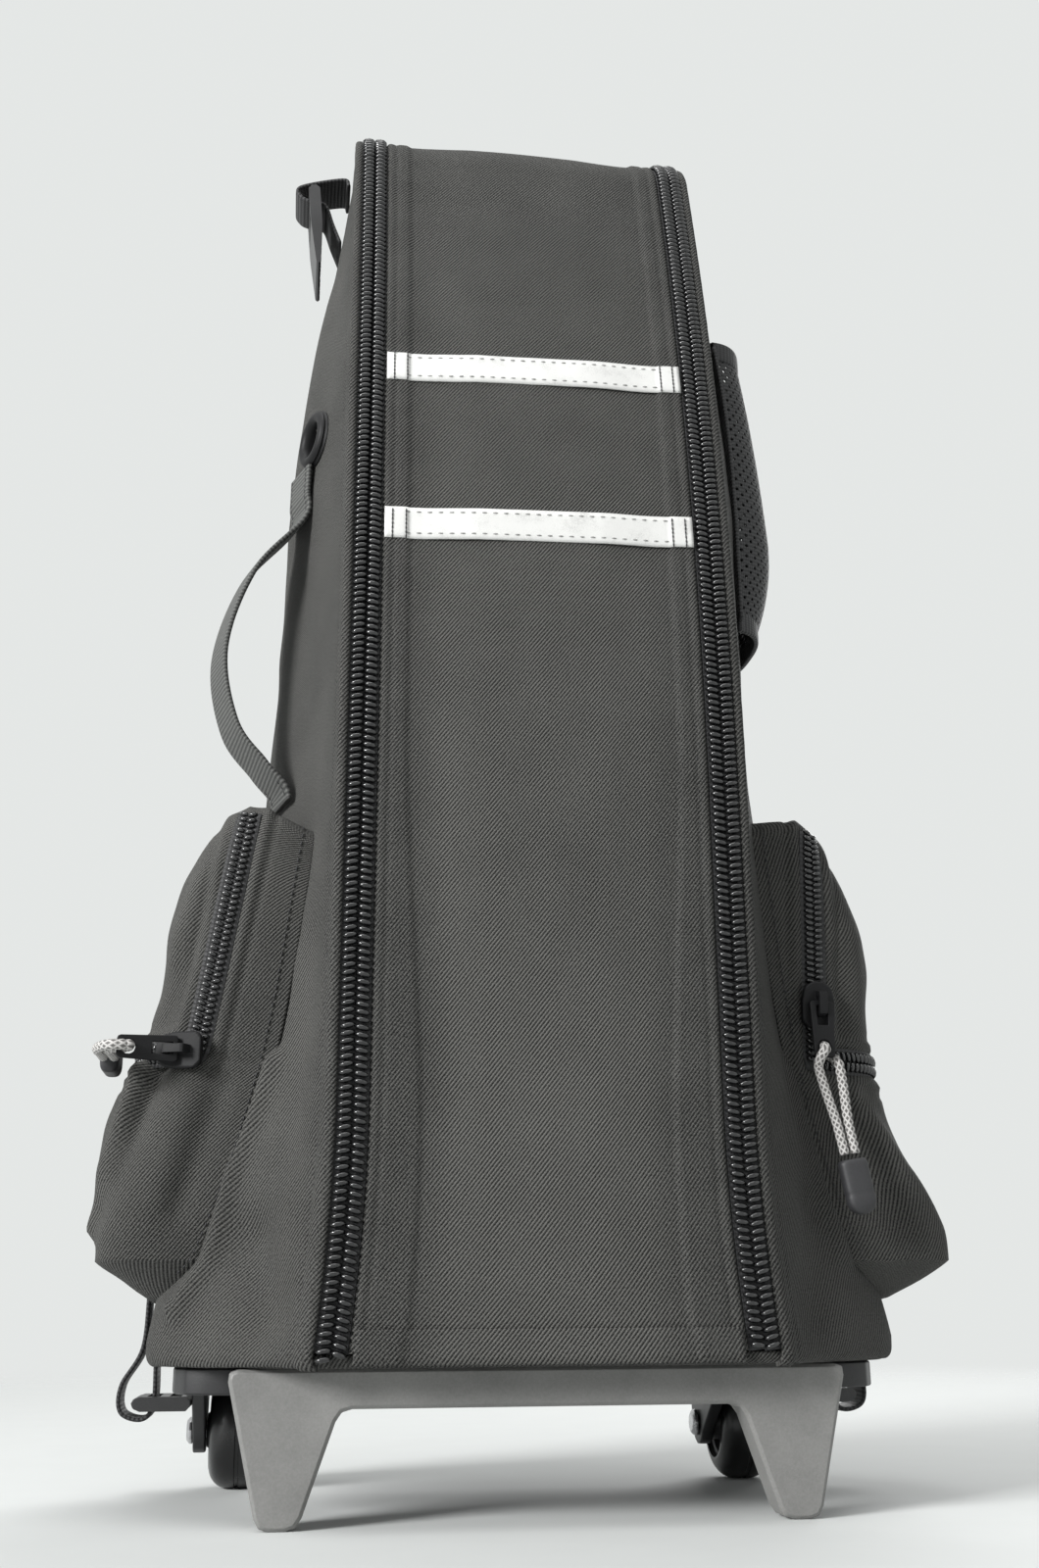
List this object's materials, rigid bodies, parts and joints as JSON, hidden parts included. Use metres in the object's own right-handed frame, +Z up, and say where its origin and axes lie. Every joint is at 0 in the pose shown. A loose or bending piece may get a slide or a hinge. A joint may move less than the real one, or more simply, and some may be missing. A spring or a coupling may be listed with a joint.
{
  "type": "wheeled oxygen cylinder carry bag",
  "caption": "Soft upright carry bag on wheels and stand legs for a small oxygen cylinder, with zipped front flap, pockets, pull handle and shoulder straps.",
  "frame": {"origin": "middle of the footprint on the floor, under the feet and wheels", "axes": "+Z up along the cylinder, -Y out of the zipped front, +X to the bag's right seen from the front"},
  "size_m": [0.3088, 0.1754, 0.6098],
  "materials": {
    "twill_cloth": "woven twill",
    "webbing": "ribbed weave",
    "zip_coil": "glossy",
    "reflective_tape": "satin",
    "netting": "open mesh",
    "moulded_grey": "fine grain",
    "moulded_black": "fine grain",
    "rubber": "smooth",
    "pull_cord": "braided",
    "dark_metal": "semi-gloss",
    "bright_steel": "bright",
    "aluminium": "satin",
    "chromed_brass": "plated"
  },
  "bodies": {
    "bag": {"axle_rivet_left": "bright_steel", "axle_rivet_right": "bright_steel", "back_board": "moulded_black", "back_pad": "twill_cloth", "bag_shell": "twill_cloth", "base_tray": "moulded_black", "cylinder_strap": "webbing", "gas_cylinder": "aluminium", "kick_stand": "moulded_grey", "lower_lock_left": "moulded_black", "lower_lock_right": "moulded_black", "main_zip_body": "zip_coil", "mesh_pocket": "netting", "outer_tube_left": "aluminium", "outer_tube_right": "aluminium", "pocket_zip_left": "zip_coil", "pocket_zip_right": "zip_coil", "regulator": "aluminium", "shoulder_strap_left": "webbing", "shoulder_strap_right": "webbing", "side_handle": "webbing", "side_pocket_left": "twill_cloth", "side_pocket_right": "twill_cloth", "tube_collar": "moulded_black", "tube_grommet": "dark_metal", "upper_lock_left": "moulded_black", "upper_lock_right": "moulded_black", "upper_webbing_left": "webbing", "upper_webbing_right": "webbing", "valve_body": "chromed_brass", "wheel_fork_left": "moulded_black", "wheel_fork_right": "moulded_black"},
    "flap": {"front_flap": "twill_cloth", "main_zip_flap": "zip_coil", "reflective_tape_upper": "reflective_tape", "reflective_tape_lower": "reflective_tape"},
    "handle": {"inner_tube_left": "aluminium", "inner_tube_right": "aluminium", "handle_grip": "moulded_black"},
    "grip_button": {"grip_button": "moulded_black"},
    "valve_toggle": {"valve_toggle": "moulded_black"},
    "flow_knob": {"flow_knob": "moulded_black"},
    "yoke_screw": {"yoke_screw": "bright_steel"},
    "wheel_left": {"wheel_tyre_left": "rubber", "wheel_hub_left": "moulded_black"},
    "pocket_slider_left": {"pocket_slider_left": "dark_metal"},
    "pull_left": {"pull_tab_left": "dark_metal", "pull_cord_left": "pull_cord", "pull_tip_left": "rubber"},
    "main_slider_left": {"main_slider_left": "dark_metal"},
    "main_pull_left": {"main_pull_left": "dark_metal"},
    "wheel_right": {"wheel_tyre_right": "rubber", "wheel_hub_right": "moulded_black"},
    "pocket_slider_right": {"pocket_slider_right": "dark_metal"},
    "pull_right": {"pull_tab_right": "dark_metal", "pull_cord_right": "pull_cord", "pull_tip_right": "rubber"},
    "main_slider_right": {"main_slider_right": "dark_metal"},
    "main_pull_right": {"main_pull_right": "dark_metal"}
  },
  "joints": [
    {"name": "flap_hinge", "type": "hinge", "parent": "bag", "child": "flap", "pos_m": [0, -0.088, 0.0533], "axis": [1, 0, 0], "range_deg": [0, 90]},
    {"name": "wheel_left_spin", "type": "hinge", "parent": "bag", "child": "wheel_left", "pos_m": [-0.1025, 0.0662, 0.0215], "axis": [1, 0, 0], "continuous": true},
    {"name": "wheel_right_spin", "type": "hinge", "parent": "bag", "child": "wheel_right", "pos_m": [0.1025, 0.0662, 0.0215], "axis": [1, 0, 0], "continuous": true},
    {"name": "handle_slide", "type": "slide", "parent": "bag", "child": "handle", "axis": [0, 0, 1], "range_m": [0, 0.4]},
    {"name": "button_press", "type": "slide", "parent": "handle", "child": "grip_button", "axis": [0, 0, -1], "range_m": [0, 0.002], "stiffness_N_per_m": 400},
    {"name": "pocket_slider_right_travel", "type": "slide", "parent": "bag", "child": "pocket_slider_right", "axis": [0.025, -0.0787, 0.9966], "range_m": [0, 0.04]},
    {"name": "pull_right_swing", "type": "hinge", "parent": "pocket_slider_right", "child": "pull_right", "pos_m": [0.10477, -0.06618, 0.17245], "axis": [-0.9977, -0.0654, 0.0199], "range_deg": [0, 120]},
    {"name": "pocket_slider_left_travel", "type": "slide", "parent": "bag", "child": "pocket_slider_left", "axis": [-0.9372, 0.3487, 0], "range_m": [0, 0.008]},
    {"name": "pull_left_swing", "type": "hinge", "parent": "pocket_slider_left", "child": "pull_left", "pos_m": [-0.12718, -0.06224, 0.1527], "axis": [0, 0, 1], "range_deg": [0, 90]},
    {"name": "main_slider_left_travel", "type": "slide", "parent": "flap", "child": "main_slider_left", "axis": [-1, 0, 0], "range_m": [0, 0.028]},
    {"name": "main_slider_right_travel", "type": "slide", "parent": "flap", "child": "main_slider_right", "axis": [1, 0, 0], "range_m": [0, 0.028]},
    {"name": "main_pull_left_swing", "type": "hinge", "parent": "main_slider_left", "child": "main_pull_left", "pos_m": [-0.013, 0.04385, 0.5792], "axis": [0, 1, 0], "range_deg": [0, 120]},
    {"name": "main_pull_right_swing", "type": "hinge", "parent": "main_slider_right", "child": "main_pull_right", "pos_m": [0.013, 0.04385, 0.5792], "axis": [0, -1, 0], "range_deg": [0, 120]},
    {"name": "valve_turn", "type": "hinge", "parent": "bag", "child": "valve_toggle", "pos_m": [0, -0.0033, 0.5245], "axis": [0, 0, 1], "range_deg": [0, 180]},
    {"name": "flow_turn", "type": "hinge", "parent": "bag", "child": "flow_knob", "pos_m": [0.0486, -0.0033, 0.4982], "axis": [1, 0, 0], "range_deg": [0, 300]},
    {"name": "yoke_screw_turn", "type": "hinge", "parent": "bag", "child": "yoke_screw", "pos_m": [-0.0403, -0.0033, 0.4982], "axis": [1, 0, 0], "continuous": true}
  ]
}
